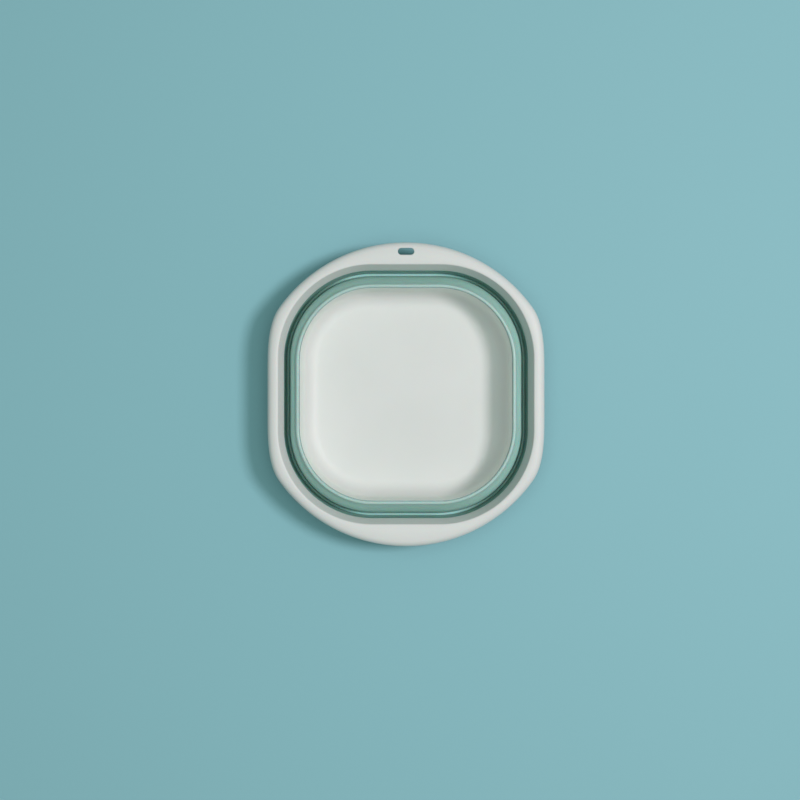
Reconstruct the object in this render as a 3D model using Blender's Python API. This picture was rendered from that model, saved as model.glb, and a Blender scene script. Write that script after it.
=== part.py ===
# Collapsible wash basin, folded flat: a hard white rim with two crescent handles, a soft teal
# wall that folds away between the rim and the dish, and a hard white dish on four soft pads.
# Metres, +Z up. The origin is on the table under the middle of the dish, and the handle with
# the hanging slot points along +Y. Pulling the rim straight up along +Z opens the basin.

import math

import bmesh
import bpy

# Heights above the table, folded
FOLDED_HEIGHT = 0.0400
LIP_DROP = 0.0014
HINGE_HEIGHT = 0.0092
FLOOR_HEIGHT = 0.0040

# Opening of the rim, a rounded rectangle
OPENING_HALF_X = 0.1026
OPENING_HALF_Y = 0.1041
OPENING_CORNER = 0.0752

# Width of the rim's top at its sides, at the middle of a handle, and at its narrowest
SIDE_LEDGE = 0.0090
HANDLE_REACH = 0.0184
LEAST_LEDGE = 0.0050

# How far past the middle of the basin the round of each handle has its centre
HANDLE_OFFSET = 0.0031

# Where the round of a handle and the straight side are closer than this, they blend
SIDE_BLEND = 0.0112

# Rim section, an upturned channel
RIM_THICKNESS = 0.0022
RIM_CROWN = 0.0006
RIM_OUTER_ROUND = 0.0055
RIM_INNER_ROUND = 0.0012
RIM_SKIRT_DEPTH = 0.0115
RIM_WALL_DEPTH = 0.0125
RIM_WALL_LEAN = math.radians(19)

# Hanging slot through the +Y handle
SLOT_LENGTH = 0.0130
SLOT_WIDTH = 0.0055
SLOT_FROM_EDGE = 0.0077

# Distance from the rim's opening in to the dish's edge, and how much tighter its corners are
FOLD_SPAN_X = 0.0146
FOLD_SPAN_Y = 0.0161
FOLD_SPAN_CORNER = 0.0139

# Soft collar that carries on from the rim's inner wall, with the bead at its lower end
COLLAR_THICKNESS = 0.0018
COLLAR_LEAN = math.radians(2.6)
COLLAR_LAP = 0.0050
COLLAR_LAP_THICKNESS = 0.0014
CREASE_WIDTH = 0.0002
BEAD_WIDTH = 0.0014
BEAD_HEIGHT = 0.0010
BEAD_ROOT = 0.0012
GROOVE_FLOOR = 0.0014

# Folding band. Its knee is the height up to which it stands nearly upright, and the drift is
# how far it has come in there, both as shares. The knee sits higher at the narrow sides.
FOLD_THICKNESS = 0.0017
FOLD_HINGE_THICKNESS = 0.0010
FOLD_HINGE_SHARE = 0.12
SIDE_KNEE_SHARE = 0.89
SIDE_KNEE_DRIFT = 0.36
HANDLE_KNEE_SHARE = 0.72
HANDLE_KNEE_DRIFT = 0.12
KNEE_ROUND = 0.30
KNEE_RISES = (0.64, 0.72, 0.80)

# Lip round the dish's edge
LIP_INNER_ROUND = 0.0011
LIP_OUTER_ROUND = 0.0013
LIP_OVERHANG = 0.0009
LIP_FLARE = 0.0004
LIP_DEPTH = 0.0024
LIP_RISE = 0.0014

# Dish
DISH_THICKNESS = 0.0026
DISH_LEAN = math.radians(3)
DISH_EDGE_ROUND = 0.0008
DISH_FILLET = 0.0135
FOOT_RING_WIDTH = 0.0028
FOOT_RING_HEIGHT = 0.0008

# Pads under the dish
PAD_DIAMETER = 0.0120
PAD_EDGE = 0.0004
PAD_FROM_RING = 0.0080
WELL_DEPTH = 0.0006

# Gap between two pieces that touch, and how far a cut runs past its piece
CLEARANCE = 0.0003
OVERRUN = 0.0030

# Fineness of the meshes
CORNER_STEPS = 10
SIDE_STEPS = 6
EDGE_STEPS = 4
FILLET_STEPS = 6
ROUND_STEPS = 28
SMOOTH_ANGLE = math.radians(35)

# Colour, roughness and metallic value of each material
WHITE_PLASTIC = ((0.685, 0.689, 0.668, 1.0), 0.50, 0.0)
TEAL_RUBBER = ((0.315, 0.525, 0.470, 1.0), 0.40, 0.0)


def inset(ring, distance):
    """The rounded rectangle that lies a distance inside another, all round."""
    half_x, half_y, corner = ring
    return (half_x - distance, half_y - distance, corner - distance)


# The two rounded rectangles that everything follows: the rim's opening and the dish's edge
OPENING = (OPENING_HALF_X, OPENING_HALF_Y, OPENING_CORNER)
DISH = (
    OPENING_HALF_X - FOLD_SPAN_X,
    OPENING_HALF_Y - FOLD_SPAN_Y,
    OPENING_CORNER - FOLD_SPAN_CORNER,
)

# Heights that follow from the sizes above
RIM_EDGE_HEIGHT = FOLDED_HEIGHT - RIM_CROWN
RIM_WALL_END = FOLDED_HEIGHT - RIM_WALL_DEPTH
SKIRT_END = FOLDED_HEIGHT - RIM_SKIRT_DEPTH
LIP_HEIGHT = FOLDED_HEIGHT - LIP_DROP
LIP_FOOT = LIP_HEIGHT - LIP_DEPTH
DISH_HEIGHT = LIP_HEIGHT - LIP_RISE
UNDERSIDE = FLOOR_HEIGHT - DISH_THICKNESS

# Middle of the dish's floor fillet, as inset from the dish's edge and as height
FILLET_HEIGHT = FLOOR_HEIGHT + DISH_FILLET
FILLET_INSET = (DISH_HEIGHT - FILLET_HEIGHT) * math.tan(DISH_LEAN) + (
    DISH_THICKNESS + DISH_FILLET
) / math.cos(DISH_LEAN)


def outline_of(ring):
    """The points of a rounded rectangle, anticlockwise from the upper end of its right side."""
    half_x, half_y, corner = ring
    core_x = half_x - corner
    core_y = half_y - corner
    centres = [(core_x, core_y), (-core_x, core_y), (-core_x, -core_y), (core_x, -core_y)]
    points = []
    for quarter, (x, y) in enumerate(centres):
        for step in range(CORNER_STEPS + 1):
            angle = (quarter + step / CORNER_STEPS) * math.pi / 2
            points.append((x + corner * math.cos(angle), y + corner * math.sin(angle)))
        end_x, end_y = points[-1]
        next_x, next_y = centres[(quarter + 1) % len(centres)]
        for step in range(1, SIDE_STEPS):
            share = step / SIDE_STEPS
            points.append((end_x + (next_x - x) * share, end_y + (next_y - y) * share))
    return points


def rim_edge(distance):
    """The rim's outer edge moved in by a distance, one point for each point of the opening."""
    handle_radius = OPENING_HALF_Y + HANDLE_REACH + HANDLE_OFFSET
    side = OPENING_HALF_X + SIDE_LEDGE
    points = []
    for x, y in outline_of(OPENING):
        angle = math.atan2(y, x)
        across = HANDLE_OFFSET * math.cos(angle)
        handle = math.sqrt(handle_radius**2 - across**2) - HANDLE_OFFSET * abs(math.sin(angle))
        straight = side / abs(math.cos(angle))
        blend = max(SIDE_BLEND - abs(handle - straight), 0)
        radius = min(handle, straight) - blend**2 / (4 * SIDE_BLEND)
        radius = max(radius, math.hypot(x, y) + LEAST_LEDGE)
        points.append((radius * math.cos(angle), radius * math.sin(angle)))
    moved = []
    for index, (x, y) in enumerate(points):
        before_x, before_y = points[index - 1]
        after_x, after_y = points[(index + 1) % len(points)]
        length = math.hypot(after_x - before_x, after_y - before_y)
        inward_x = (before_y - after_y) / length
        inward_y = (after_x - before_x) / length
        moved.append((x + inward_x * distance, y + inward_y * distance))
    return moved


def round_outline(radius, reach=0, centre_y=0):
    """A circle, or a slot along X where reach sets its two round ends apart."""
    points = []
    for step in range(ROUND_STEPS):
        angle = (step + 0.5) / ROUND_STEPS * math.tau
        x = math.copysign(reach, math.cos(angle)) + radius * math.cos(angle)
        points.append((x, centre_y + radius * math.sin(angle)))
    return points


def arc(centre, radius, start, end, steps):
    """Points along an arc, as pairs of inset and height, from one angle to another."""
    points = []
    for step in range(steps + 1):
        angle = start + (end - start) * step / steps
        points.append((centre[0] + radius * math.cos(angle), centre[1] + radius * math.sin(angle)))
    return points


def section_along(ring, points):
    """Outlines and heights of a section given as insets from a ring and heights."""
    return [(outline_of(inset(ring, distance)), height) for distance, height in points]


def rim_wall_inset(height):
    """How far the rim's inner wall stands in from the opening at a height."""
    start = RIM_EDGE_HEIGHT - RIM_INNER_ROUND * (1 - math.sin(RIM_WALL_LEAN))
    rounding = RIM_INNER_ROUND * (1 - math.cos(RIM_WALL_LEAN))
    return (start - height) * math.tan(RIM_WALL_LEAN) - rounding


def collar_inset(height):
    """How far the groove side of the collar stands in from the opening at a height."""
    return rim_wall_inset(RIM_WALL_END) + (RIM_WALL_END - height) * math.tan(COLLAR_LEAN)


def make_material(name, look):
    """A plain material from its colour, roughness and metallic value."""
    colour, roughness, metallic = look
    material = bpy.data.materials.new(name)
    material.use_nodes = True
    shader = material.node_tree.nodes["Principled BSDF"]
    shader.inputs["Base Color"].default_value = colour
    shader.inputs["Roughness"].default_value = roughness
    shader.inputs["Metallic"].default_value = metallic
    material.diffuse_color = colour
    return material


def loft(name, section, material, closed=True):
    """Skin a list of outlines with heights and link it as a smooth-shaded object. A closed
    section is a tube that runs round the basin; an open one has a cap at each end."""
    builder = bmesh.new()
    rings = [[builder.verts.new((x, y, height)) for x, y in outline] for outline, height in section]
    pairs = list(zip(rings, rings[1:]))
    if closed:
        pairs.append((rings[-1], rings[0]))
    else:
        builder.faces.new(rings[0])
        builder.faces.new(rings[-1])
    for lower, upper in pairs:
        for index in range(len(lower)):
            builder.faces.new((lower[index - 1], lower[index], upper[index], upper[index - 1]))
    bmesh.ops.recalc_face_normals(builder, faces=builder.faces)
    mesh = bpy.data.meshes.new(name)
    builder.to_mesh(mesh)
    builder.free()
    mesh.shade_smooth()
    mesh.set_sharp_from_angle(angle=SMOOTH_ANGLE)
    mesh.materials.append(material)
    shape = bpy.data.objects.new(name, mesh)
    bpy.context.collection.objects.link(shape)
    return shape


def cut(shape, cutter):
    """Subtract a cutter from a shape, and leave the cutter as a hidden guide."""
    cutter.hide_render = True
    cutter.display_type = "WIRE"
    modifier = shape.modifiers.new(cutter.name, "BOOLEAN")
    modifier.operation = "DIFFERENCE"
    modifier.solver = "EXACT"
    modifier.object = cutter


def make_rim(material):
    """Skirt, rounded top and inner wall: a channel open below, with the hanging slot."""
    outer_edge = arc((RIM_OUTER_ROUND, -RIM_OUTER_ROUND), RIM_OUTER_ROUND, math.pi, math.pi / 2, EDGE_STEPS)
    inner_edge = arc(
        (-RIM_INNER_ROUND, RIM_EDGE_HEIGHT - RIM_INNER_ROUND),
        RIM_INNER_ROUND,
        math.pi / 2,
        RIM_WALL_LEAN,
        EDGE_STEPS,
    )
    under_edge = arc(
        (RIM_OUTER_ROUND, RIM_EDGE_HEIGHT - RIM_OUTER_ROUND),
        RIM_OUTER_ROUND - RIM_THICKNESS,
        math.pi / 2,
        math.pi,
        EDGE_STEPS // 2,
    )
    edge_of_top = rim_edge(RIM_OUTER_ROUND)
    opening_of_top = outline_of(inset(OPENING, -RIM_INNER_ROUND))
    crest = [((ax + bx) / 2, (ay + by) / 2) for (ax, ay), (bx, by) in zip(edge_of_top, opening_of_top)]
    web = RIM_EDGE_HEIGHT - RIM_THICKNESS
    wall_end = rim_wall_inset(RIM_WALL_END)
    section = [(rim_edge(RIM_THICKNESS), SKIRT_END), (rim_edge(0), SKIRT_END)]
    section += [(rim_edge(distance), RIM_EDGE_HEIGHT + drop) for distance, drop in outer_edge]
    section.append((crest, FOLDED_HEIGHT))
    section += section_along(OPENING, inner_edge)
    section += section_along(
        OPENING,
        [
            (wall_end, RIM_WALL_END),
            (wall_end - RIM_THICKNESS, RIM_WALL_END),
            (rim_wall_inset(web) - RIM_THICKNESS, web),
        ],
    )
    section += [(rim_edge(distance), height) for distance, height in under_edge]
    rim = loft("rim_frame", section, material)

    slot_y = OPENING_HALF_Y + HANDLE_REACH - SLOT_FROM_EDGE
    slot = round_outline(SLOT_WIDTH / 2, (SLOT_LENGTH - SLOT_WIDTH) / 2, slot_y)
    ends = [(slot, SKIRT_END), (slot, FOLDED_HEIGHT + OVERRUN)]
    cut(rim, loft("slot_cutter", ends, material, closed=False))
    return rim


def make_collar(material):
    """Soft band bonded under and behind the rim's inner wall, down to the bead in the fold."""
    top = RIM_WALL_END - CLEARANCE
    foot = collar_inset(HINGE_HEIGHT)
    bead_start = foot + CREASE_WIDTH
    floor_end = bead_start + BEAD_WIDTH + GROOVE_FLOOR
    lap_top = RIM_WALL_END + COLLAR_LAP
    lap_foot = RIM_WALL_END - COLLAR_LAP / 2
    behind_rim = RIM_THICKNESS + CLEARANCE
    points = [(collar_inset(top), top), (foot, HINGE_HEIGHT + BEAD_HEIGHT)]
    for step in range(EDGE_STEPS + 1):
        angle = step / EDGE_STEPS * math.pi
        distance = bead_start + BEAD_WIDTH / 2 * (1 - math.cos(angle))
        points.append((distance, HINGE_HEIGHT + BEAD_HEIGHT * math.sin(angle)))
    points += [
        (floor_end, HINGE_HEIGHT),
        (floor_end, HINGE_HEIGHT - BEAD_ROOT),
        (foot, HINGE_HEIGHT - BEAD_ROOT),
        (foot - COLLAR_THICKNESS, HINGE_HEIGHT),
        (collar_inset(lap_foot) - COLLAR_THICKNESS, lap_foot),
        (rim_wall_inset(top) - behind_rim - COLLAR_LAP_THICKNESS, top),
        (rim_wall_inset(lap_top) - behind_rim - COLLAR_LAP_THICKNESS, lap_top),
        (rim_wall_inset(lap_top) - behind_rim, lap_top),
        (rim_wall_inset(top) - behind_rim, top),
    ]
    return loft("wall_collar", section_along(OPENING, points), material)


def fold_drift(rise, knee_share, knee_drift):
    """How far the folding band has come in at a share of its height, with a rounded knee."""
    upright = knee_drift * rise / knee_share
    leaning = knee_drift + (1 - knee_drift) / (1 - knee_share) * (rise - knee_share)
    near = max(KNEE_ROUND - abs(upright - leaning), 0)
    return max(upright, leaning) + near**2 / (4 * KNEE_ROUND)


def fold_outline(foot_ring, head_ring, rise):
    """The folding band's outline at a share of its height, from its lower to its upper ring."""
    points = []
    for (foot_x, foot_y), (head_x, head_y) in zip(outline_of(foot_ring), outline_of(head_ring)):
        turn = foot_y**2 / (foot_x**2 + foot_y**2)
        knee_share = SIDE_KNEE_SHARE + (HANDLE_KNEE_SHARE - SIDE_KNEE_SHARE) * turn
        knee_drift = SIDE_KNEE_DRIFT + (HANDLE_KNEE_DRIFT - SIDE_KNEE_DRIFT) * turn
        drift = fold_drift(rise, knee_share, knee_drift)
        points.append((foot_x + (head_x - foot_x) * drift, foot_y + (head_y - foot_y) * drift))
    return points


def make_fold_wall(material):
    """Soft band from the groove's floor up to the lip, thinner at its two hinges. It stands
    nearly upright up to its knee and leans in from there. It turns over as the basin opens."""
    foot_inset = collar_inset(HINGE_HEIGHT) + CREASE_WIDTH + BEAD_WIDTH + GROOVE_FLOOR + CLEARANCE
    foot_ring = inset(OPENING, foot_inset + FOLD_HINGE_THICKNESS / 2)
    head_ring = inset(DISH, FOLD_HINGE_THICKNESS / 2 - LIP_OVERHANG - LIP_FLARE)
    foot = HINGE_HEIGHT - BEAD_ROOT
    head = LIP_FOOT - CLEARANCE
    groove_side = []
    dish_side = []
    for rise in (0, FOLD_HINGE_SHARE, *KNEE_RISES, 1 - FOLD_HINGE_SHARE, 1):
        half = (FOLD_HINGE_THICKNESS if rise in (0, 1) else FOLD_THICKNESS) / 2
        height = foot + (head - foot) * rise
        outer = fold_outline(inset(foot_ring, -half), inset(head_ring, -half), rise)
        inner = fold_outline(inset(foot_ring, half), inset(head_ring, half), rise)
        groove_side.append((outer, height))
        dish_side.append((inner, height))
    return loft("fold_wall", groove_side + dish_side[::-1], material)


def make_lip(material):
    """Soft lip over the dish's edge: a round crest with a short leg down the outside."""
    inner_side = DISH_THICKNESS / math.cos(DISH_LEAN)
    underside = DISH_HEIGHT + CLEARANCE
    inner_round = (inner_side - LIP_INNER_ROUND, LIP_HEIGHT - LIP_INNER_ROUND)
    outer_round = (LIP_OUTER_ROUND - LIP_OVERHANG, LIP_HEIGHT - LIP_OUTER_ROUND)
    points = [(inner_side, underside)]
    points += arc(inner_round, LIP_INNER_ROUND, 0, math.pi / 2, EDGE_STEPS)
    points += arc(outer_round, LIP_OUTER_ROUND, math.pi / 2, math.pi, EDGE_STEPS)
    points += [
        (-LIP_OVERHANG - LIP_FLARE, LIP_FOOT),
        (-CLEARANCE, LIP_FOOT),
        (-CLEARANCE, underside),
    ]
    return loft("dish_lip", section_along(DISH, points), material)


def make_dish(material):
    """Leaning wall, wide floor fillet and flat floor, with a foot ring moulded under it."""
    ring_end = FILLET_INSET + FOOT_RING_WIDTH
    middle = (FILLET_INSET, FILLET_HEIGHT)
    wall = DISH_THICKNESS / math.cos(DISH_LEAN)
    rounding = DISH_EDGE_ROUND
    outside = arc(middle, DISH_FILLET + DISH_THICKNESS, math.pi * 3 / 2, math.pi + DISH_LEAN, FILLET_STEPS)
    inside = arc(middle, DISH_FILLET, math.pi + DISH_LEAN, math.pi * 3 / 2, FILLET_STEPS)
    points = [
        (ring_end, UNDERSIDE),
        (ring_end, UNDERSIDE - FOOT_RING_HEIGHT),
        (FILLET_INSET, UNDERSIDE - FOOT_RING_HEIGHT),
    ]
    points += outside
    points += arc((rounding, DISH_HEIGHT - rounding), rounding, math.pi, math.pi / 2, EDGE_STEPS // 2)
    points += arc((wall - rounding, DISH_HEIGHT - rounding), rounding, math.pi / 2, 0, EDGE_STEPS // 2)
    points += inside
    return loft("bottom_dish", section_along(DISH, points), material, closed=False)


def add_pads(dish, material):
    """Four soft pads in shallow wells under the corners of the dish's floor."""
    core_x = DISH[0] - DISH[2]
    core_y = DISH[1] - DISH[2]
    spread = (DISH[2] - FILLET_INSET - FOOT_RING_WIDTH - PAD_FROM_RING) * math.cos(math.pi / 4)
    radius = PAD_DIAMETER / 2
    well_roof = UNDERSIDE + WELL_DEPTH
    pad_section = [
        (round_outline(radius - PAD_EDGE), 0),
        (round_outline(radius), PAD_EDGE),
        (round_outline(radius), well_roof - CLEARANCE),
    ]
    well = round_outline(radius + CLEARANCE)
    pads = []
    for number, (sign_x, sign_y) in enumerate([(1, 1), (-1, 1), (-1, -1), (1, -1)], start=1):
        place = (sign_x * (core_x + spread), sign_y * (core_y + spread), 0)
        pad = loft(f"foot_pad_{number}", pad_section, material, closed=False)
        cutter = loft(f"well_cutter_{number}", [(well, 0), (well, well_roof)], material, closed=False)
        pad.location = place
        cutter.location = place
        cut(dish, cutter)
        pads.append(pad)
    return pads


def build():
    """Clear the scene and make every piece. The rim and the collar lift together."""
    for old in list(bpy.data.objects):
        bpy.data.objects.remove(old)
    white = make_material("white_plastic", WHITE_PLASTIC)
    teal = make_material("teal_rubber", TEAL_RUBBER)
    lift = bpy.data.objects.new("rim_lift", None)
    bpy.context.collection.objects.link(lift)
    for piece in (make_rim(white), make_collar(teal)):
        piece.parent = lift
    make_fold_wall(teal)
    make_lip(teal)
    dish = make_dish(white)
    add_pads(dish, teal)


build()
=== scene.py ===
import math

import bmesh
import bpy
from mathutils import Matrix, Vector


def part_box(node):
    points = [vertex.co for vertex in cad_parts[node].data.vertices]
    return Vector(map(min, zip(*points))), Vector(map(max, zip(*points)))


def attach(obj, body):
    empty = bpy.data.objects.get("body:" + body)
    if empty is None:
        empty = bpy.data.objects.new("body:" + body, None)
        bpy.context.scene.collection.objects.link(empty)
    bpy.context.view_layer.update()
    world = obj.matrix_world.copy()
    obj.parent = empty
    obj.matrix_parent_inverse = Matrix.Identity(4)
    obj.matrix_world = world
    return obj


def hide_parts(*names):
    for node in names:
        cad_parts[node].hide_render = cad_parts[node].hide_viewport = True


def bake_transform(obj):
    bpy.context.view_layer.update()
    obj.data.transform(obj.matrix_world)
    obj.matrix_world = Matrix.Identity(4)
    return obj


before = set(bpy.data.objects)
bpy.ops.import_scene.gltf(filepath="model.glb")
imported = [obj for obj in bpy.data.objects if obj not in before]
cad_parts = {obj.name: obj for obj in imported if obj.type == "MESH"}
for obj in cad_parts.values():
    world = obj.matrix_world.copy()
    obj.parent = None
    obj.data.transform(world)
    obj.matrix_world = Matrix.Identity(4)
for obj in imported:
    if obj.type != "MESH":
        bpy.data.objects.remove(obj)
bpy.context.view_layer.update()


# Bottom dish. Hard white plastic, injection moulded: a leaning wall, a wide floor fillet and a
# foot ring underneath. The soft wall is later moulded onto its edge, and it is the lowest and
# stiffest part of the basin.

# Its edge seen from above
DISH_HALF_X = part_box("bottom_dish")[1][0]
DISH_HALF_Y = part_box("bottom_dish")[1][1]
DISH_CORNER = 0.0613
DISH_OUTLINE = (DISH_HALF_X, DISH_HALF_Y, DISH_CORNER)
CORNER_STEPS = 72
# Its section
DISH_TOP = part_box("bottom_dish")[1][2]
DISH_THICKNESS = 0.0026
DISH_LEAN = math.radians(3)
DISH_EDGE_ROUND = 0.0008
DISH_EDGE_STEPS = 5
FLOOR_FILLET = 0.0135
FLOOR_FILLET_STEPS = 24
FLOOR_HEIGHT = 0.0040
UNDERSIDE = FLOOR_HEIGHT - DISH_THICKNESS
FOOT_RING_WIDTH = 0.0028
FOOT_RING_HEIGHT = 0.0008
FOOT_RING_ROUND = 0.0003
FOOT_RING_STEPS = 4
FLAT_MARGIN = 0.0012
FILLET_CENTRE = (
    -(DISH_TOP - FLOOR_HEIGHT - FLOOR_FILLET) * math.tan(DISH_LEAN)
    - (DISH_THICKNESS + FLOOR_FILLET) / math.cos(DISH_LEAN),
    FLOOR_HEIGHT + FLOOR_FILLET,
)
# Groove in its edge, where the soft lip starts
SEAM_LAND = 0.00012
SEAM_WIDTH = 0.00042
SEAM_DEPTH = 0.0012
SEAM_DROP = 0.0004
# Wells for the foot pads, and the mark where the plastic flowed in
PAD_LOW, PAD_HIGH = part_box("foot_pad_1")
PAD_X = (PAD_LOW[0] + PAD_HIGH[0]) / 2
PAD_Y = (PAD_LOW[1] + PAD_HIGH[1]) / 2
PAD_SIDES = 48
WELL_RADIUS = 0.0063
WELL_DEPTH = 0.0006
GATE_RADIUS = 0.0030
GATE_DEPTH = 0.0004
GATE_TAPER = GATE_DEPTH / 2
# Limits of what counts as one point and as a sharp edge
SAME_POINT = 0.00001
SHARP_ANGLE = math.radians(40)

WHITE = (0.685, 0.689, 0.668, 1.0)
WHITE_DEEP = (0.668, 0.674, 0.652, 1.0)
# Clouds and grain per metre, roughness and its spread, height of the relief, glow from within
SATIN_FINISH = {
    "clouds": 14,
    "grain": 2600,
    "roughness": 0.52,
    "spread": 0.12,
    "relief": 0.00002,
    "glow": 0.10,
}
GLOW_DEPTH = 0.003
MOULDED_IOR = 1.49
CLOUD_DETAIL = 3
CLOUD_LOW = 0.35
CLOUD_HIGH = 0.65
GRAIN_DETAIL = 2
GRAIN_ROUGHNESS = 0.6
# Painted light: inside, the dish's wall is painted lighter and greener above the floor, standing
# in for light reflected from the teal lip
PAINTED_BOUNCE_WHITE = (0.800, 0.850, 0.800, 1.0)
PAINTED_BOUNCE_START = FLOOR_HEIGHT + 0.0030
PAINTED_BOUNCE_END = FLOOR_HEIGHT + FLOOR_FILLET
# Sockets of a mix node when it mixes colours: the share, both colours, and the result
MIX_SHARE, MIX_FIRST, MIX_SECOND, MIX_RESULT = 0, 6, 7, 2


def new_tree(name, kind, inputs, outputs):
    """Start a node tree from its named inputs and outputs, each with its kind of socket."""
    tree = bpy.data.node_groups.new(name, kind)
    for in_out, sockets in (("INPUT", inputs), ("OUTPUT", outputs)):
        for socket, socket_kind in sockets.items():
            socket_type = "NodeSocket" + socket_kind
            tree.interface.new_socket(socket, in_out=in_out, socket_type=socket_type)
    return tree, tree.nodes.new("NodeGroupInput"), tree.nodes.new("NodeGroupOutput")


def feed(tree, value, socket):
    """Feed a node's input with another node's output or with a plain value."""
    if isinstance(value, bpy.types.NodeSocket):
        tree.links.new(value, socket)
    else:
        socket.default_value = value


def add_maths(tree, operation, *values):
    """Add a maths node and give its result."""
    node = tree.nodes.new("ShaderNodeMath")
    node.operation = operation
    for value, socket in zip(values, node.inputs):
        feed(tree, value, socket)
    return node.outputs["Value"]


def add_range(tree, value, low, high, interpolation):
    """Add a node that gives 0 at the low value and 1 at the high one, and give its result."""
    node = tree.nodes.new("ShaderNodeMapRange")
    node.interpolation_type = interpolation
    node.inputs["From Min"].default_value = low
    node.inputs["From Max"].default_value = high
    tree.links.new(value, node.inputs["Value"])
    return node.outputs["Result"]


def add_colour_mix(tree, share, first, second):
    """Add a node that mixes two colours, and give its result."""
    node = tree.nodes.new("ShaderNodeMix")
    node.data_type = "RGBA"
    feed(tree, share, node.inputs[MIX_SHARE])
    feed(tree, first, node.inputs[MIX_FIRST])
    feed(tree, second, node.inputs[MIX_SECOND])
    return node.outputs[MIX_RESULT]


def take_coordinate(tree, vector, axis):
    """Add a node that takes one coordinate out of a vector, and give its result."""
    node = tree.nodes.new("ShaderNodeSeparateXYZ")
    tree.links.new(vector, node.inputs["Vector"])
    return node.outputs[axis]


def make_grain_group():
    """Shader group for moulded plastic and rubber: cloudy colour, uneven gloss, fine grain."""
    inputs = {
        "Colour": "Color",
        "Deep Colour": "Color",
        "Cloud Scale": "Float",
        "Grain Scale": "Float",
        "Roughness": "Float",
        "Roughness Spread": "Float",
    }
    outputs = {"Colour": "Color", "Roughness": "Float", "Height": "Float"}
    tree, given, result = new_tree("moulded_grain", "ShaderNodeTree", inputs, outputs)
    join = tree.links.new
    place = tree.nodes.new("ShaderNodeTexCoord")

    cloud = tree.nodes.new("ShaderNodeTexNoise")
    cloud.inputs["Detail"].default_value = CLOUD_DETAIL
    join(place.outputs["Object"], cloud.inputs["Vector"])
    join(given.outputs["Cloud Scale"], cloud.inputs["Scale"])
    depth = add_range(tree, cloud.outputs["Fac"], CLOUD_LOW, CLOUD_HIGH, "LINEAR")
    colour = add_colour_mix(tree, depth, given.outputs["Colour"], given.outputs["Deep Colour"])
    join(colour, result.inputs["Colour"])

    grain = tree.nodes.new("ShaderNodeTexNoise")
    grain.inputs["Detail"].default_value = GRAIN_DETAIL
    grain.inputs["Roughness"].default_value = GRAIN_ROUGHNESS
    join(place.outputs["Object"], grain.inputs["Vector"])
    join(given.outputs["Grain Scale"], grain.inputs["Scale"])
    join(grain.outputs["Fac"], result.inputs["Height"])

    # Gloss follows both the clouds and the grain
    both = add_maths(tree, "ADD", cloud.outputs["Fac"], grain.outputs["Fac"])
    centred = add_maths(tree, "SUBTRACT", both, 1.0)
    roughness = given.outputs["Roughness"]
    gloss = add_maths(tree, "MULTIPLY_ADD", centred, given.outputs["Roughness Spread"], roughness)
    join(gloss, result.inputs["Roughness"])
    return tree


grain_group = make_grain_group()


def make_moulded(name, colour, deep_colour, finish):
    """Material of a moulded piece: the grain group feeding a Principled shader."""
    material = bpy.data.materials.new(name)
    material.use_nodes = True
    nodes = material.node_tree.nodes
    join = material.node_tree.links.new
    shader = nodes["Principled BSDF"]
    group = nodes.new("ShaderNodeGroup")
    group.node_tree = grain_group
    group.inputs["Colour"].default_value = colour
    group.inputs["Deep Colour"].default_value = deep_colour
    group.inputs["Cloud Scale"].default_value = finish["clouds"]
    group.inputs["Grain Scale"].default_value = finish["grain"]
    group.inputs["Roughness"].default_value = finish["roughness"]
    group.inputs["Roughness Spread"].default_value = finish["spread"]
    relief = nodes.new("ShaderNodeBump")
    relief.inputs["Strength"].default_value = 1.0
    relief.inputs["Distance"].default_value = finish["relief"]
    join(group.outputs["Height"], relief.inputs["Height"])
    join(group.outputs["Colour"], shader.inputs["Base Color"])
    join(group.outputs["Roughness"], shader.inputs["Roughness"])
    join(relief.outputs["Normal"], shader.inputs["Normal"])
    shader.inputs["IOR"].default_value = MOULDED_IOR
    shader.inputs["Subsurface Weight"].default_value = finish["glow"]
    shader.inputs["Subsurface Scale"].default_value = GLOW_DEPTH
    material.diffuse_color = colour
    return material


def mix_in_colour(material, colour, first_mask, second_mask):
    """Mix a colour into a moulded material as far as two masks both allow."""
    tree = material.node_tree
    base = tree.nodes["Principled BSDF"].inputs["Base Color"]
    moulded_colour = base.links[0].from_socket
    share = add_maths(tree, "MULTIPLY", first_mask, second_mask)
    tree.links.new(add_colour_mix(tree, share, moulded_colour, colour), base)


def paint_bounce_light_inside(material, low, high, colour):
    """Paint light into a moulded material: mix a colour in where it faces the middle of the basin,
    from none of it at one height to all of it at another."""
    tree = material.node_tree
    place = tree.nodes.new("ShaderNodeTexCoord")
    height = take_coordinate(tree, place.outputs["Object"], "Z")
    rise = add_range(tree, height, low, high, "SMOOTHSTEP")

    # The part of the normal that points away from the middle is negative on the inside
    level = tree.nodes.new("ShaderNodeVectorMath")
    level.operation = "MULTIPLY"
    level.inputs[1].default_value = (1, 1, 0)
    away = tree.nodes.new("ShaderNodeVectorMath")
    away.operation = "DOT_PRODUCT"
    tree.links.new(place.outputs["Object"], level.inputs[0])
    tree.links.new(level.outputs["Vector"], away.inputs[0])
    tree.links.new(place.outputs["Normal"], away.inputs[1])
    inside = add_maths(tree, "LESS_THAN", away.outputs["Value"], 0)
    mix_in_colour(material, colour, rise, inside)


dish_plastic = make_moulded("satin_white_dish", WHITE, WHITE_DEEP, SATIN_FINISH)
# Painted reflected light: the dish's inner wall turns lighter and greener from just above the
# floor upward
paint_bounce_light_inside(dish_plastic, PAINTED_BOUNCE_START, PAINTED_BOUNCE_END, PAINTED_BOUNCE_WHITE)


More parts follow.
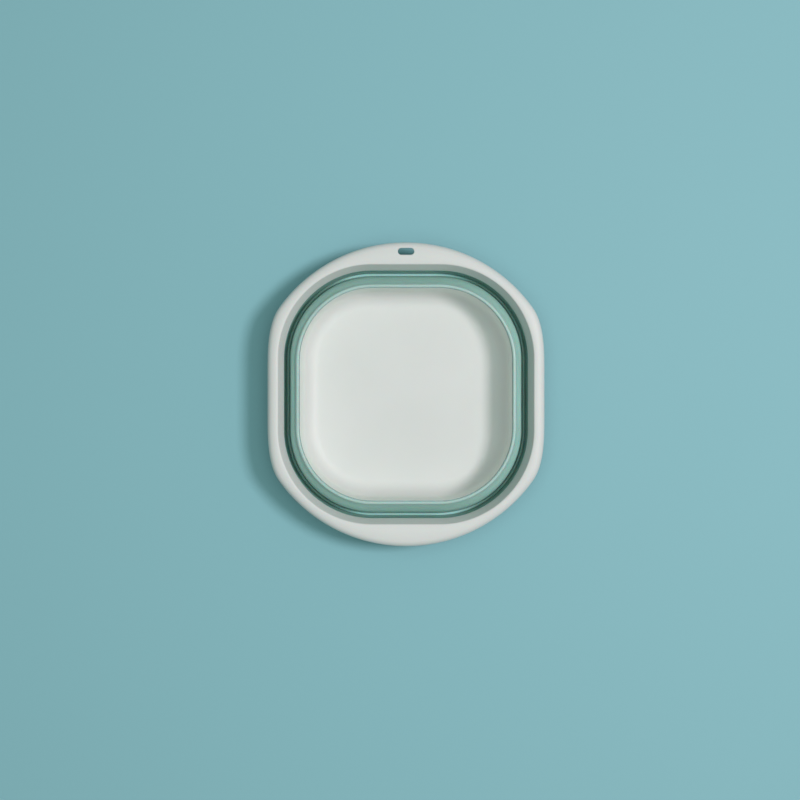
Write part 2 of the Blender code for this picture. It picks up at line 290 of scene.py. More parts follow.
def end_with_material(tree, shape, given, result):
    """End a geometry tree: make the shape's instances real and give it the named material."""
    real = tree.nodes.new("GeometryNodeRealizeInstances")
    coat = tree.nodes.new("GeometryNodeSetMaterial")
    tree.links.new(shape, real.inputs["Geometry"])
    tree.links.new(real.outputs["Geometry"], coat.inputs["Geometry"])
    tree.links.new(given.outputs["Material"], coat.inputs["Material"])
    tree.links.new(coat.outputs["Geometry"], result.inputs["Mesh"])


def make_sweep_tree():
    """Sweep a flat section round a rounded rectangle. The section stands in the XZ plane, with
    X as the distance outward from the path and Z as the height."""
    inputs = {
        "Section": "Geometry",
        "Width": "Float",
        "Length": "Float",
        "Corner Radius": "Float",
        "Corner Steps": "Int",
        "Material": "Material",
    }
    outputs = {"Mesh": "Geometry"}
    tree, given, result = new_tree("sweep_round_basin", "GeometryNodeTree", inputs, outputs)
    add = tree.nodes.new
    join = tree.links.new

    # The path: a rectangle with filleted corners, its normals level
    rectangle = add("GeometryNodeCurvePrimitiveQuadrilateral")
    join(given.outputs["Width"], rectangle.inputs["Width"])
    join(given.outputs["Length"], rectangle.inputs["Height"])
    fillet = add("GeometryNodeFilletCurve")
    fillet.mode = "POLY"
    join(rectangle.outputs["Curve"], fillet.inputs["Curve"])
    join(given.outputs["Corner Steps"], fillet.inputs["Count"])
    join(given.outputs["Corner Radius"], fillet.inputs["Radius"])
    upright = add("GeometryNodeSetCurveNormal")
    upright.mode = "Z_UP"
    join(fillet.outputs["Curve"], upright.inputs["Curve"])

    # The section, laid flat as a profile has to lie, and swept along the path
    laid = add("GeometryNodeTransform")
    laid.inputs["Rotation"].default_value = (math.pi / 2, 0, 0)
    join(given.outputs["Section"], laid.inputs["Geometry"])
    profile = add("GeometryNodeMeshToCurve")
    join(laid.outputs["Geometry"], profile.inputs["Mesh"])
    sweep = add("GeometryNodeCurveToMesh")
    join(upright.outputs["Curve"], sweep.inputs["Curve"])
    join(profile.outputs["Curve"], sweep.inputs["Profile Curve"])
    end_with_material(tree, sweep.outputs["Mesh"], given, result)
    return tree


sweep_tree = make_sweep_tree()


def run_tree(shape, tree, values):
    """Run a geometry tree on an object with named input values, and keep only its result."""
    modifier = shape.modifiers.new(tree.name, "NODES")
    modifier.node_group = tree
    for item in tree.interface.items_tree:
        if item.name in values:
            modifier[item.identifier] = values[item.name]
    bpy.context.view_layer.update()
    graph = bpy.context.evaluated_depsgraph_get()
    mesh = bpy.data.meshes.new_from_object(shape.evaluated_get(graph))
    shape.modifiers.clear()
    mesh.name = shape.name
    shape.data = mesh


def add_object(name, data):
    """Link a new object for a mesh, a lamp or a camera."""
    added = bpy.data.objects.new(name, data)
    bpy.context.scene.collection.objects.link(added)
    return added


def finish_mesh(shape):
    """Close open rims, point all faces outward and shade the round ones smooth."""
    builder = bmesh.new()
    builder.from_mesh(shape.data)
    open_edges = [edge for edge in builder.edges if edge.is_boundary]
    if open_edges:
        bmesh.ops.holes_fill(builder, edges=open_edges, sides=0)
    bmesh.ops.recalc_face_normals(builder, faces=builder.faces)
    builder.to_mesh(shape.data)
    builder.free()
    shape.data.shade_smooth()
    shape.data.set_sharp_from_angle(angle=SHARP_ANGLE)


def sweep_piece(name, section, outline, material, closed=True):
    """A piece made by sweeping a section round a rounded rectangle."""
    half_x, half_y, corner = outline
    count = len(section)
    edges = [(index, (index + 1) % count) for index in range(count if closed else count - 1)]
    mesh = bpy.data.meshes.new(name)
    mesh.from_pydata([(distance, 0, height) for distance, height in section], edges, [])
    shape = add_object(name, mesh)
    values = {
        "Width": 2 * half_x,
        "Length": 2 * half_y,
        "Corner Radius": corner,
        "Corner Steps": CORNER_STEPS,
        "Material": material,
    }
    run_tree(shape, sweep_tree, values)
    finish_mesh(shape)
    return shape


def arc(centre, radius, start, end, steps):
    """Points along an arc, as pairs of outward distance and height, between angles in degrees."""
    turns = [math.radians(start + (end - start) * step / steps) for step in range(steps + 1)]
    across, up = centre
    return [(across + radius * math.cos(turn), up + radius * math.sin(turn)) for turn in turns]


foot_low = UNDERSIDE - FOOT_RING_HEIGHT
foot_out = FILLET_CENTRE[0]
foot_in = foot_out - FOOT_RING_WIDTH
foot_inner_centre = (foot_in + FOOT_RING_ROUND, foot_low + FOOT_RING_ROUND)
foot_outer_centre = (foot_out - FOOT_RING_ROUND, foot_low + FOOT_RING_ROUND)
wall = DISH_THICKNESS / math.cos(DISH_LEAN)
wall_angle = 360 - math.degrees(DISH_LEAN)
outer_fillet = FLOOR_FILLET + DISH_THICKNESS
edge_centre = (-DISH_EDGE_ROUND, DISH_TOP - DISH_EDGE_ROUND)
seam_side = SEAM_LAND + SEAM_WIDTH - wall
dish_section = [(foot_in - FLAT_MARGIN, UNDERSIDE), (foot_in, UNDERSIDE)]
dish_section += arc(foot_inner_centre, FOOT_RING_ROUND, 180, 270, FOOT_RING_STEPS)
dish_section += arc(foot_outer_centre, FOOT_RING_ROUND, 270, 360, FOOT_RING_STEPS)
dish_section += arc(FILLET_CENTRE, outer_fillet, 270, wall_angle, FLOOR_FILLET_STEPS)
dish_section += arc(edge_centre, DISH_EDGE_ROUND, 0, 90, DISH_EDGE_STEPS)
dish_section += [
    (seam_side, DISH_TOP),
    (seam_side, DISH_TOP - SEAM_DEPTH),
    (SEAM_LAND - wall, DISH_TOP - SEAM_DEPTH),
    (SEAM_LAND - wall, DISH_TOP - SEAM_DROP),
    (-wall, DISH_TOP - SEAM_DROP - SEAM_LAND),
]
dish_section += arc(FILLET_CENTRE, FLOOR_FILLET, wall_angle, 270, FLOOR_FILLET_STEPS)
dish_section.append((foot_out - FLAT_MARGIN, FLOOR_HEIGHT))
dish = sweep_piece("dish", dish_section, DISH_OUTLINE, dish_plastic, closed=False)


def make_corner_tree():
    """Put a piece on the four corners of a rectangle round the origin."""
    inputs = {
        "Piece": "Geometry",
        "Width": "Float",
        "Length": "Float",
        "Material": "Material",
    }
    outputs = {"Mesh": "Geometry"}
    tree, given, result = new_tree("place_on_corners", "GeometryNodeTree", inputs, outputs)
    join = tree.links.new
    corners = tree.nodes.new("GeometryNodeMeshGrid")
    corners.inputs["Vertices X"].default_value = 2
    corners.inputs["Vertices Y"].default_value = 2
    join(given.outputs["Width"], corners.inputs["Size X"])
    join(given.outputs["Length"], corners.inputs["Size Y"])
    placed = tree.nodes.new("GeometryNodeInstanceOnPoints")
    join(corners.outputs["Mesh"], placed.inputs["Points"])
    join(given.outputs["Piece"], placed.inputs["Instance"])
    end_with_material(tree, placed.outputs["Instances"], given, result)
    return tree


corner_tree = make_corner_tree()


def repeat_at_pads(shape, material):
    """Repeat a piece at the places of the four foot pads."""
    run_tree(shape, corner_tree, {"Width": 2 * PAD_X, "Length": 2 * PAD_Y, "Material": material})


def turned_piece(name, section, sides):
    """A solid of revolution about Z from pairs of radius and height, ending on the axis."""
    builder = bmesh.new()
    points = [builder.verts.new((radius, 0, height)) for radius, height in section]
    edges = [builder.edges.new(pair) for pair in zip(points, points[1:])]
    bmesh.ops.spin(
        builder, geom=points + edges, axis=(0, 0, 1), cent=(0, 0, 0), angle=math.tau, steps=sides
    )
    bmesh.ops.remove_doubles(builder, verts=builder.verts, dist=SAME_POINT)
    bmesh.ops.recalc_face_normals(builder, faces=builder.faces)
    mesh = bpy.data.meshes.new(name)
    builder.to_mesh(mesh)
    builder.free()
    return add_object(name, mesh)


def cut(piece, cutter):
    """Subtract the cutter from a piece, remove the cutter and leave a plain mesh."""
    cutting = piece.modifiers.new("cut", "BOOLEAN")
    cutting.operation = "DIFFERENCE"
    cutting.solver = "EXACT"
    cutting.object = cutter
    bpy.context.view_layer.update()
    graph = bpy.context.evaluated_depsgraph_get()
    cut_mesh = bpy.data.meshes.new_from_object(piece.evaluated_get(graph))
    piece.modifiers.clear()
    piece.data = cut_mesh
    bpy.data.objects.remove(cutter)
    finish_mesh(piece)


well_roof = UNDERSIDE + WELL_DEPTH
well_section = [(0, 0), (WELL_RADIUS, 0), (WELL_RADIUS, well_roof), (0, well_roof)]
wells = turned_piece("well_cutter", well_section, PAD_SIDES)
repeat_at_pads(wells, dish_plastic)
cut(dish, wells)
gate_roof = UNDERSIDE + GATE_DEPTH
gate_section = [(0, 0), (GATE_RADIUS, 0), (GATE_RADIUS - GATE_TAPER, gate_roof), (0, gate_roof)]
gate = turned_piece("gate_cutter", gate_section, PAD_SIDES)
gate.data.materials.append(dish_plastic)
cut(dish, gate)
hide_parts("bottom_dish")
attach(dish, "base")


# Dish lip. The lower edge of the soft teal wall, moulded over the edge of the dish. Its round
# crest caps the hard edge, and on the inside a fine seam shows where the two materials meet.
LIP_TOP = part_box("dish_lip")[1][2]
LIP_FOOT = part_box("dish_lip")[0][2]
LIP_INNER_ROUND = 0.0009
LIP_OUTER_ROUND = 0.0012
LIP_ROUND_STEPS = 8
LIP_OVERHANG = 0.0006
LIP_FLARE = 0.0007
LIP_FLARE_START = LIP_FLARE * 0.4
LIP_PROUD = 0.00005
SEAM = 0.0003

# The lip is paler than the rest of the wall, partly because it is thin over the white edge and
# partly as a painted highlight on its round crest
THIN_TEAL_AND_PAINTED_HIGHLIGHT = (0.395, 0.565, 0.530, 1.0)
THIN_TEAL_AND_PAINTED_HIGHLIGHT_DEEP = (0.380, 0.550, 0.510, 1.0)
SOFT_FINISH = {
    "clouds": 22,
    "grain": 1800,
    "roughness": 0.32,
    "spread": 0.08,
    "relief": 0.00003,
    "glow": 0.45,
}

# Partly painted highlight: the lip's rubber is paler and less saturated than the wall's
thin_teal_and_painted_highlight_rubber = make_moulded("thin_teal_and_painted_highlight_rubber", THIN_TEAL_AND_PAINTED_HIGHLIGHT, THIN_TEAL_AND_PAINTED_HIGHLIGHT_DEEP, SOFT_FINISH)

lip_side = seam_side - LIP_PROUD
lip_root = DISH_TOP - SEAM_DEPTH + LIP_PROUD
lip_inner_centre = (lip_side + LIP_INNER_ROUND, LIP_TOP - LIP_INNER_ROUND)
lip_outer_centre = (LIP_OVERHANG - LIP_OUTER_ROUND, LIP_TOP - LIP_OUTER_ROUND)
lip_section = [(SEAM_LAND - wall + LIP_PROUD, lip_root), (lip_side, lip_root + LIP_PROUD)]
lip_section += arc(lip_inner_centre, LIP_INNER_ROUND, 180, 90, LIP_ROUND_STEPS)
lip_section += arc(lip_outer_centre, LIP_OUTER_ROUND, 90, 0, LIP_ROUND_STEPS)
lip_section += [
    (LIP_OVERHANG + LIP_FLARE_START, LIP_FOOT + LIP_FLARE),
    (LIP_OVERHANG + LIP_FLARE, LIP_FOOT),
    (SEAM, LIP_FOOT),
    (SEAM, DISH_TOP + SEAM),
    (lip_side + SEAM, DISH_TOP + SEAM),
    (lip_side + SEAM, lip_root),
]
lip = sweep_piece("soft_lip", lip_section, DISH_OUTLINE, thin_teal_and_painted_highlight_rubber)
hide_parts("dish_lip")
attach(lip, "base")


# Foot pads. Four soft discs of the wall's teal material, moulded into shallow wells under the
# corners of the dish's floor, so that the basin doesn't slide.
PAD_RADIUS = 0.0060
PAD_EDGE_ROUND = 0.0004
PAD_EDGE_STEPS = 4
PAD_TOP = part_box("foot_pad_1")[1][2]
PAD_GROOVE_DEPTH = 0.0002
PAD_GROOVES = 3

TEAL = (0.315, 0.525, 0.470, 1.0)
TEAL_DEEP = (0.300, 0.505, 0.450, 1.0)

teal_rubber = make_moulded("soft_teal_rubber", TEAL, TEAL_DEEP, SOFT_FINISH)

pad_edge_centre = (PAD_RADIUS - PAD_EDGE_ROUND, PAD_EDGE_ROUND)
pad_section = [(0, 0)]
for groove in range(PAD_GROOVES):
    middle = PAD_RADIUS * (groove + 1) / (PAD_GROOVES + 1)
    pad_section += [
        (middle - PAD_GROOVE_DEPTH, 0),
        (middle, PAD_GROOVE_DEPTH),
        (middle + PAD_GROOVE_DEPTH, 0),
    ]
pad_section += arc(pad_edge_centre, PAD_EDGE_ROUND, -90, 0, PAD_EDGE_STEPS)
pad_section += [(PAD_RADIUS, PAD_TOP), (0, PAD_TOP)]
pads = turned_piece("foot_pads", pad_section, PAD_SIDES)
repeat_at_pads(pads, teal_rubber)
finish_mesh(pads)
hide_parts("foot_pad_1", "foot_pad_2", "foot_pad_3", "foot_pad_4")
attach(pads, "base")


# Folding wall. The soft teal band between the groove's bottom and the dish's lip, thinner at both
# ends, where it hinges.
# In the real basin it turns over when the rim is pulled up; here it is built in its folded shape
# only.

# The rim's opening, which the wall starts from
OPENING_HALF_X = 0.1026
OPENING_HALF_Y = 0.1041
OPENING_CORNER = 0.0752
OPENING_OUTLINE = (OPENING_HALF_X, OPENING_HALF_Y, OPENING_CORNER)
# Its ends, and how far they stand from the opening and from the dish's edge
FOLD_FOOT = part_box("fold_wall")[0][2]
FOLD_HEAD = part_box("fold_wall")[1][2]
FOLD_REACH_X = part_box("fold_wall")[1][0]
FOLD_THICKNESS = 0.0017
FOLD_HINGE_THICKNESS = 0.0010
FOLD_HINGE_SHARE = 0.12
FOLD_FOOT_INSET = OPENING_HALF_X - FOLD_REACH_X + FOLD_HINGE_THICKNESS / 2
FOLD_HEAD_OUTSET = LIP_OVERHANG + LIP_FLARE - FOLD_HINGE_THICKNESS / 2
# Its knee: the share of the height at which it sits, and of the way in that it has come there
SIDE_KNEE_SHARE = 0.93
SIDE_KNEE_DRIFT = 0.42
HANDLE_KNEE_SHARE = 0.66
HANDLE_KNEE_DRIFT = 0.12
FOLD_KNEE_ROUND = 0.30
FOLD_STEPS = 56
RING_CORNER_STEPS = 48
RING_SIDE_STEPS = 8


def rounded_ring(half_x, half_y, corner):
    """Points of a rounded rectangle, anticlockwise."""
    core_x = half_x - corner
    core_y = half_y - corner
    centres = [(core_x, core_y), (-core_x, core_y), (-core_x, -core_y), (core_x, -core_y)]
    points = []
    for quarter, (x, y) in enumerate(centres):
        for step in range(RING_CORNER_STEPS + 1):
            angle = (quarter + step / RING_CORNER_STEPS) * math.pi / 2
            points.append((x + corner * math.cos(angle), y + corner * math.sin(angle)))
        end_x, end_y = points[-1]
        next_x, next_y = centres[(quarter + 1) % len(centres)]
        for step in range(1, RING_SIDE_STEPS):
            share = step / RING_SIDE_STEPS
            points.append((end_x + (next_x - x) * share, end_y + (next_y - y) * share))
    return points


def grown(outline, distance):
    """A rounded rectangle, as half width, half length and corner, moved out by a distance."""
    return [size + distance for size in outline]


def at(height, ring):
    """A ring's points at a height."""
    return [(x, y, height) for x, y in ring]


def loft_rings(name, rings, material, closed=True):
    """Skin a list of point rings. A closed loft is a tube round the basin."""
    builder = bmesh.new()
    rows = [[builder.verts.new(point) for point in ring] for ring in rings]
    pairs = list(zip(rows, rows[1:]))
    if closed:
        pairs.append((rows[-1], rows[0]))
    for lower, upper in pairs:
        for index in range(len(lower)):
            builder.faces.new((lower[index - 1], lower[index], upper[index], upper[index - 1]))
    mesh = bpy.data.meshes.new(name)
    builder.to_mesh(mesh)
    builder.free()
    mesh.materials.append(material)
    shape = add_object(name, mesh)
    finish_mesh(shape)
    return shape


def fold_drift(rise, knee_share, knee_drift):
    """How far the folding wall has come in towards the dish at a share of its height: nearly
    upright up to the knee, leaning from there, with a rounded knee."""
    upright = knee_drift * rise / knee_share
    lean = (1 - knee_drift) / (1 - knee_share)
    leaning = knee_drift + lean * (rise - knee_share)
    near = max(FOLD_KNEE_ROUND - abs(upright - leaning), 0)
    return max(upright, leaning) + near**2 / (4 * FOLD_KNEE_ROUND)


def fold_ring(rise, outward):
    """The folding wall's ring at a share of its height, moved outward by a distance. Its knee
    sits higher at the narrow sides than at the handles."""
    points = []
    foot_ring = rounded_ring(*grown(foot_outline, outward))
    head_ring = rounded_ring(*grown(head_outline, outward))
    for (foot_x, foot_y), (head_x, head_y) in zip(foot_ring, head_ring):
        turn = foot_y**2 / (foot_x**2 + foot_y**2)
        knee_share = SIDE_KNEE_SHARE + (HANDLE_KNEE_SHARE - SIDE_KNEE_SHARE) * turn
        knee_drift = SIDE_KNEE_DRIFT + (HANDLE_KNEE_DRIFT - SIDE_KNEE_DRIFT) * turn
        drift = fold_drift(rise, knee_share, knee_drift)
        points.append((foot_x + (head_x - foot_x) * drift, foot_y + (head_y - foot_y) * drift))
    return points


foot_outline = grown(OPENING_OUTLINE, -FOLD_FOOT_INSET)
head_outline = grown(DISH_OUTLINE, FOLD_HEAD_OUTSET)
groove_side = []
dish_side = []
for step in range(FOLD_STEPS + 1):
    rise = step / FOLD_STEPS
    height = FOLD_FOOT + (FOLD_HEAD - FOLD_FOOT) * rise
    from_end = min(rise, 1 - rise) / FOLD_HINGE_SHARE
    thickness = FOLD_HINGE_THICKNESS + (FOLD_THICKNESS - FOLD_HINGE_THICKNESS) * min(from_end, 1)
    groove_side.append(at(height, fold_ring(rise, thickness / 2)))
    dish_side.append(at(height, fold_ring(rise, -thickness / 2)))

# Its root inside the lip is half as thick as the hinge
root_outline = grown(head_outline, -FOLD_HINGE_THICKNESS / 4)
for side, rings in ((1, groove_side), (-1, dish_side)):
    root_ring = rounded_ring(*grown(root_outline, side * FOLD_HINGE_THICKNESS / 4))
    rings.append(at(LIP_FOOT + SEAM, root_ring))
fold = loft_rings("folding_wall", groove_side + dish_side[::-1], teal_rubber)
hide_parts("fold_wall")
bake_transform(fold)


# Collar. The upper part of the soft teal wall, bonded under and behind the rim's inner wall. It
# ends in the bottom of the groove in a bead between two creases, where the folding wall starts.

# The rim's inner wall, which the collar is bonded to
RIM_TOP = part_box("rim_frame")[1][2]
RIM_CROWN = 0.0006
RIM_EDGE = RIM_TOP - RIM_CROWN
RIM_THICKNESS = 0.0022
RIM_INNER_ROUND = 0.0012
RIM_WALL_LEAN = math.radians(19)
RIM_WALL_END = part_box("rim_frame")[0][2]
# Its wall, and the lap behind the rim's
COLLAR_THICKNESS = 0.0018
COLLAR_LEAN = math.radians(2.6)
COLLAR_LAP = 0.0050
COLLAR_LAP_THICKNESS = 0.0014
# Its foot, with the bead, the creases and what the folding wall stands on
CREASE_WIDTH = 0.0002
CREASE_DEPTH = 0.0006
BEAD_WIDTH = 0.0024
BEAD_HEIGHT = 0.0012
BEAD_ROOT = 0.0012
BEAD_STEPS = 12
GROOVE_FLOOR = 0.0004
FOOT_OVERLAP = 0.0006
HINGE_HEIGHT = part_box("wall_collar")[0][2] + BEAD_ROOT

# Painted highlight: the bead and the groove floor are painted pale where they face up along the
# handles, where the lamp's light runs down the groove
PAINTED_HIGHLIGHT_TEAL = (0.48, 0.79, 0.76, 1.0)
HIGHLIGHT_HALF_LENGTH = 0.038
HIGHLIGHT_FADE_END = 0.066
FACES_ASIDE = 0.3
FACES_UP = 0.7


def paint_highlight_facing_up(material, colour):
    """Paint a highlight into a moulded material: mix a colour in where it faces up along the
    handles.
    """
    tree = material.node_tree
    place = tree.nodes.new("ShaderNodeTexCoord")
    aside = add_maths(tree, "ABSOLUTE", take_coordinate(tree, place.outputs["Object"], "X"))
    along = add_range(tree, aside, HIGHLIGHT_FADE_END, HIGHLIGHT_HALF_LENGTH, "SMOOTHSTEP")
    facing = take_coordinate(tree, place.outputs["Normal"], "Z")
    upward = add_range(tree, facing, FACES_ASIDE, FACES_UP, "SMOOTHSTEP")
    mix_in_colour(material, colour, along, upward)


collar_rubber = make_moulded("teal_collar_rubber", TEAL, TEAL_DEEP, SOFT_FINISH)
# Painted highlight on the bead and the groove floor along the handles
paint_highlight_facing_up(collar_rubber, PAINTED_HIGHLIGHT_TEAL)


def rim_wall_inset(height):
    """How far the rim's inner wall stands in from the opening at a height."""
    start = RIM_EDGE - RIM_INNER_ROUND * (1 - math.sin(RIM_WALL_LEAN))
    rounding = RIM_INNER_ROUND * (1 - math.cos(RIM_WALL_LEAN))
    return (start - height) * math.tan(RIM_WALL_LEAN) - rounding


def collar_inset(height):
    """How far the groove side of the collar stands in from the opening at a height."""
    return rim_wall_inset(RIM_WALL_END) + (RIM_WALL_END - height) * math.tan(COLLAR_LEAN)


collar_top = RIM_WALL_END - SEAM
collar_foot = collar_inset(HINGE_HEIGHT)
bead_middle = collar_foot + CREASE_WIDTH + BEAD_WIDTH / 2
floor_end = bead_middle + BEAD_WIDTH / 2 + GROOVE_FLOOR + FOOT_OVERLAP
lap_top = RIM_WALL_END + COLLAR_LAP
lap_foot = RIM_WALL_END - COLLAR_LAP / 2
behind = RIM_THICKNESS + SEAM
collar_points = [
    (collar_inset(collar_top), collar_top),
    (collar_foot, HINGE_HEIGHT + BEAD_HEIGHT / 2),
]
for step in range(BEAD_STEPS + 1):
    angle = step / BEAD_STEPS * math.pi
    distance = bead_middle - BEAD_WIDTH / 2 * math.cos(angle)
    collar_points.append((distance, HINGE_HEIGHT + BEAD_HEIGHT * math.sin(angle)))
collar_points += [
    (bead_middle + BEAD_WIDTH / 2 + GROOVE_FLOOR / 3, HINGE_HEIGHT - CREASE_DEPTH),
    (floor_end, HINGE_HEIGHT - CREASE_DEPTH),
    (floor_end, HINGE_HEIGHT - BEAD_ROOT),
    (collar_foot, HINGE_HEIGHT - BEAD_ROOT),
    (collar_foot - COLLAR_THICKNESS, HINGE_HEIGHT),
    (collar_inset(lap_foot) - COLLAR_THICKNESS, lap_foot),
    (rim_wall_inset(collar_top) - behind - COLLAR_LAP_THICKNESS, collar_top),
    (rim_wall_inset(lap_top) - behind - COLLAR_LAP_THICKNESS, lap_top),
    (rim_wall_inset(lap_top) - behind, lap_top),
    (rim_wall_inset(collar_top) - behind, collar_top),
]
collar_section = [(-inset, height) for inset, height in collar_points]
collar = sweep_piece("wall_collar_skin", collar_section, OPENING_OUTLINE, collar_rubber)
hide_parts("wall_collar")
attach(collar, "rim")


# Rim. Hard white plastic, injection moulded as a channel open below: a skirt, a rounded top
# that widens into the two handles, and an inner wall. A hanging slot goes through one handle.

# Its outer edge seen from above
SIDE_LEDGE = 0.0090
SIDE_BLEND = 0.0112
HANDLE_REACH = 0.0184
HANDLE_OFFSET = 0.0031
# Its section
RIM_OUTER_ROUND = 0.0055
RIM_OUTER_STEPS = 14
RIM_INNER_STEPS = 8
RIM_UNDER_STEPS = 8
RIM_CROWN_SLOPE = math.radians(11.5)
RIM_CROWN_STEPS = 12
SKIRT_HEIGHT = 0.0115
SKIRT_END = RIM_TOP - SKIRT_HEIGHT
SKIRT_ROUND = 0.0006
SKIRT_STEPS = 4
# The hanging slot, whose upper edge flares and lies a little below the crown
SLOT_LENGTH = 0.0130
SLOT_WIDTH = 0.0055
SLOT_FROM_EDGE = 0.0077
SLOT_SIDES = 48
SLOT_FLARE = 0.0007
SLOT_FLARE_END = 100
SLOT_FLARE_STEPS = 5
SLOT_DROP = RIM_CROWN / 4

white_plastic = make_moulded("satin_white_plastic", WHITE, WHITE_DEEP, SATIN_FINISH)


def opening_ring(distance):
    """The rim's opening moved outward by a distance."""
    return rounded_ring(*grown(OPENING_OUTLINE, distance))


def edge_ring(distance):
    """The rim's outer edge moved in by a distance, one point for each point of the opening."""
    handle_radius = OPENING_HALF_Y + HANDLE_REACH + HANDLE_OFFSET
    side = OPENING_HALF_X + SIDE_LEDGE
    points = []
    for x, y in opening_ring(0):
        angle = math.atan2(y, x)
        across = HANDLE_OFFSET * math.cos(angle)
        handle = math.sqrt(handle_radius**2 - across**2) - HANDLE_OFFSET * abs(math.sin(angle))
        straight = side / abs(math.cos(angle))
        blend = max(SIDE_BLEND - abs(handle - straight), 0)
        radius = min(handle, straight) - blend**2 / (4 * SIDE_BLEND)
        points.append((radius * math.cos(angle), radius * math.sin(angle)))
    moved = []
    for index, (x, y) in enumerate(points):
        before_x, before_y = points[index - 1]
        after_x, after_y = points[(index + 1) % len(points)]
        length = math.hypot(after_x - before_x, after_y - before_y)
        inward_x = (before_y - after_y) / length
        inward_y = (after_x - before_x) / length
        moved.append((x + inward_x * distance, y + inward_y * distance))
    return moved


def crown_point(outer, inner, share):
    """A point of the rim's top between its two roundings, on a curve that leaves both smoothly."""
    outer_x, outer_y, outer_z = outer
    inner_x, inner_y, inner_z = inner
    width = math.hypot(inner_x - outer_x, inner_y - outer_y)
    slope = math.tan(RIM_CROWN_SLOPE)
    apex = width / 2 + (inner_z - outer_z) / (2 * slope)
    along = 2 * share * (1 - share) * apex / width + share**2
    rise = 2 * share * (1 - share) * slope * apex + share**2 * (inner_z - outer_z)
    x = outer_x + (inner_x - outer_x) * along
    y = outer_y + (inner_y - outer_y) * along
    return (x, y, outer_z + rise)


def rings_along(curve, ring):
    """A ring for each point of a curve that is given as pairs of distance and height."""
    return [at(height, ring(distance)) for distance, height in curve]


skirt_centre = (SKIRT_ROUND, SKIRT_END + SKIRT_ROUND)
outer_centre = (RIM_OUTER_ROUND, RIM_EDGE - RIM_OUTER_ROUND)
inner_centre = (RIM_INNER_ROUND, RIM_EDGE - RIM_INNER_ROUND)
under_round = RIM_OUTER_ROUND - RIM_THICKNESS
crown_angle = 90 + math.degrees(RIM_CROWN_SLOPE)
inner_angle = 180 - math.degrees(RIM_WALL_LEAN)
skirt_curve = arc(skirt_centre, SKIRT_ROUND, 270, 180, SKIRT_STEPS)
outer_curve = arc(outer_centre, RIM_OUTER_ROUND, 180, crown_angle, RIM_OUTER_STEPS)
inner_curve = arc(inner_centre, RIM_INNER_ROUND, crown_angle, inner_angle, RIM_INNER_STEPS)
under_curve = arc(outer_centre, under_round, 90, 180, RIM_UNDER_STEPS)

rim_rings = rings_along(skirt_curve, edge_ring) + rings_along(outer_curve, edge_ring)
outer_rings_end = rim_rings[-1]
inner_rings = rings_along(inner_curve, opening_ring)
for step in range(1, RIM_CROWN_STEPS):
    share = step / RIM_CROWN_STEPS
    across_top = zip(outer_rings_end, inner_rings[0])
    rim_rings.append([crown_point(outer, inner, share) for outer, inner in across_top])
rim_rings += inner_rings
web = RIM_EDGE - RIM_THICKNESS
wall_end = rim_wall_inset(RIM_WALL_END)
rim_rings.append(at(RIM_WALL_END, opening_ring(-wall_end)))
rim_rings.append(at(RIM_WALL_END, opening_ring(RIM_THICKNESS - wall_end)))
rim_rings.append(at(web, opening_ring(RIM_THICKNESS - rim_wall_inset(web))))
rim_rings += rings_along(under_curve, edge_ring)
rim_rings.append(at(SKIRT_END, edge_ring(RIM_THICKNESS)))
rim = loft_rings("rim_shell", rim_rings, white_plastic)


def slot_ring(grow):
    """The hanging slot's outline, grown by a distance."""
    radius = SLOT_WIDTH / 2 + grow
    reach = (SLOT_LENGTH - SLOT_WIDTH) / 2
    middle = OPENING_HALF_Y + HANDLE_REACH - SLOT_FROM_EDGE
    points = []
    for step in range(SLOT_SIDES):
        angle = (step + 0.5) / SLOT_SIDES * math.tau
        x = math.copysign(reach, math.cos(angle)) + radius * math.cos(angle)
        points.append((x, middle + radius * math.sin(angle)))
    return points


flare_centre = (SLOT_FLARE, RIM_TOP - SLOT_FLARE)
slot_rings = [at(SKIRT_END, slot_ring(0))]
for distance, height in arc(flare_centre, SLOT_FLARE, 180, SLOT_FLARE_END, SLOT_FLARE_STEPS):
    slot_rings.append(at(height - SLOT_DROP, slot_ring(distance)))
slot_rings.append(at(RIM_TOP + SLOT_FLARE, slot_ring(SLOT_FLARE)))
cutter = loft_rings("slot_cutter", slot_rings, white_plastic, closed=False)
cut(rim, cutter)
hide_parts("rim_frame")
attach(rim, "rim")


# Stage. A plain pale table, the daylight of a room, one large soft lamp high on the right, and
# the camera straight above.
FLOOR_SIZE = 3.8
PALE = (0.238, 0.475, 0.520, 1.0)
PAINT_FINISH = {
    "clouds": 3,
    "grain": 900,
    "roughness": 0.7,
    "spread": 0.1,
    "relief": 0.00001,
    "glow": 0,
}
FRAME_WIDTH = 0.6419
CAMERA_HEIGHT = 1.30
SENSOR_WIDTH = 36
VIEW_SHIFT_X = 0.0048
VIEW_SHIFT_Y = 0.0046
LAMP_DISTANCE = 2.6
LAMP_SIZE = 0.66
LAMP_LEAN_X = 0.58
LAMP_LEAN_Y = 0.08
LAMP_POWER = 37
LAMP_COLOUR = (1.0, 0.925, 0.97)
ROOM_LIGHT = 0.24
ROOM_COLOUR = (0.82, 1.0, 0.92, 1.0)
BACKDROP = (0.27, 0.45, 0.47, 1.0)
SKYLIGHT_SIZE = 1.6
SKYLIGHT_PLACE = (0, 0, 2.0)
SKYLIGHT_POWER = 12
SKYLIGHT_COLOUR = (0.86, 0.97, 0.94)

floor_mesh = bpy.data.meshes.new("table")
half = FLOOR_SIZE / 2
floor_corners = [(-half, -half, 0), (half, -half, 0), (half, half, 0), (-half, half, 0)]
floor_mesh.from_pydata(floor_corners, [], [(0, 1, 2, 3)])
floor = add_object("table", floor_mesh)
floor_mesh.materials.append(make_moulded("table_paint", PALE, PALE, PAINT_FINISH))

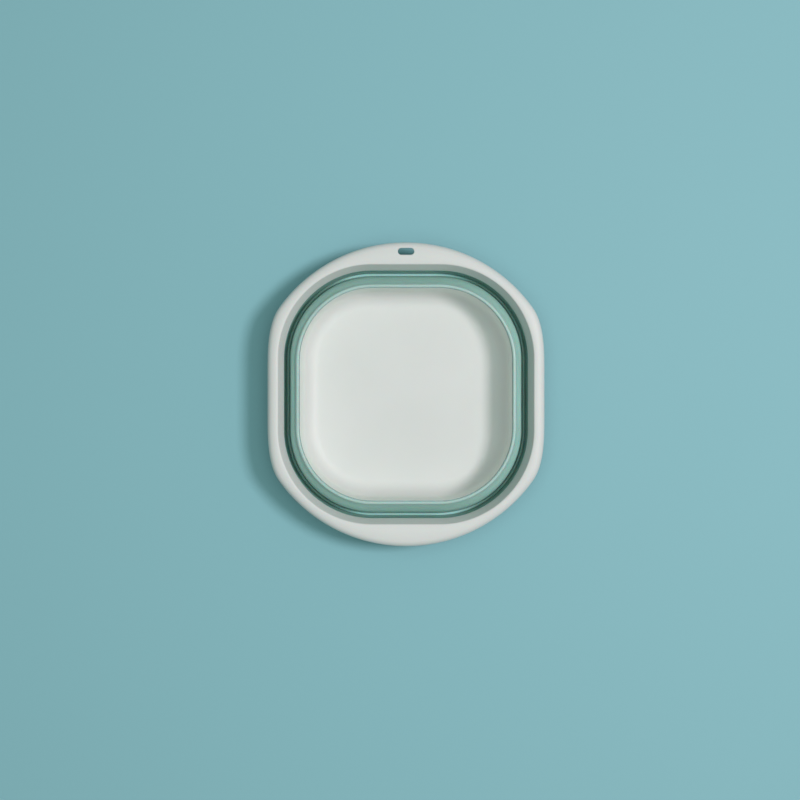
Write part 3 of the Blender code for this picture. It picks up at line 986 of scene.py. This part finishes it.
# The world lights the basin as daylight, and camera, gloss and glass see a plain backdrop
world = bpy.data.worlds.new("room")
world.use_nodes = True
room = world.node_tree
daylight = room.nodes["Background"]
daylight.inputs["Color"].default_value = ROOM_COLOUR
daylight.inputs["Strength"].default_value = ROOM_LIGHT
backdrop = room.nodes.new("ShaderNodeBackground")
backdrop.inputs["Color"].default_value = BACKDROP
ray = room.nodes.new("ShaderNodeLightPath")
seen = add_maths(room, "MAXIMUM", ray.outputs["Is Camera Ray"], ray.outputs["Is Glossy Ray"])
seen_through = add_maths(room, "MAXIMUM", seen, ray.outputs["Is Transmission Ray"])
chosen = room.nodes.new("ShaderNodeMixShader")
room.links.new(seen_through, chosen.inputs["Fac"])
room.links.new(daylight.outputs["Background"], chosen.inputs[1])
room.links.new(backdrop.outputs["Background"], chosen.inputs[2])
room.links.new(chosen.outputs["Shader"], room.nodes["World Output"].inputs["Surface"])
bpy.context.scene.world = world


def add_lamp(name, place, size, power, colour):
    """A round soft lamp that shines at the basin and stays out of the camera's sight."""
    light = bpy.data.lights.new(name, "AREA")
    light.shape = "DISK"
    light.size = size
    light.energy = power
    light.color = colour
    lamp = add_object(name, light)
    lamp.location = place
    lamp.rotation_euler = lamp.location.to_track_quat("Z", "Y").to_euler()
    lamp.visible_camera = False


lean = math.sqrt(1 + LAMP_LEAN_X**2 + LAMP_LEAN_Y**2)
lamp_place = [LAMP_DISTANCE * part / lean for part in (LAMP_LEAN_X, LAMP_LEAN_Y, 1)]
add_lamp("soft_lamp", lamp_place, LAMP_SIZE, LAMP_POWER, LAMP_COLOUR)
add_lamp("skylight", SKYLIGHT_PLACE, SKYLIGHT_SIZE, SKYLIGHT_POWER, SKYLIGHT_COLOUR)

camera_data = bpy.data.cameras.new("camera")
camera_data.sensor_width = SENSOR_WIDTH
camera_data.lens = camera_data.sensor_width * (CAMERA_HEIGHT - RIM_TOP) / FRAME_WIDTH
camera = add_object("camera", camera_data)
camera.location = (-VIEW_SHIFT_X, -VIEW_SHIFT_Y, CAMERA_HEIGHT)
bpy.context.scene.camera = camera
bpy.context.scene.view_settings.view_transform = "Standard"
